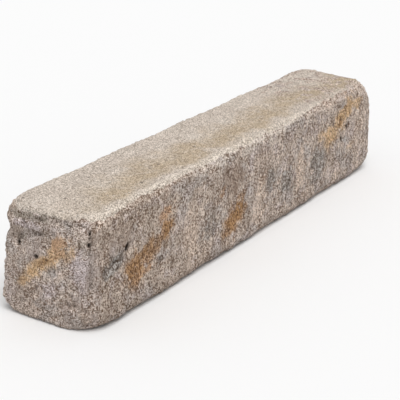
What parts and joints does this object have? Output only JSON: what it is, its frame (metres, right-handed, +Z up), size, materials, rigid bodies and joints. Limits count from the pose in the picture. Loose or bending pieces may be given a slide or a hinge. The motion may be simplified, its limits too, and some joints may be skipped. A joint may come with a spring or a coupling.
{
  "type": "concrete walling block",
  "caption": "Long square-section concrete block with flat beds and tumbled, unevenly worn arrises and corners, for dry-laid or mortared low walls and edging.",
  "frame": {"origin": "middle of the lower bed, on the floor plane", "axes": "+X along the block, away from the end with the lip; +Z up, out of the upper bed; -Y out of the long face seen in the picture"},
  "size_m": [0.6, 0.12, 0.12],
  "materials": {
    "concrete": "matte"
  },
  "bodies": {
    "root": {"walling_block": "concrete"}
  },
  "joints": []
}
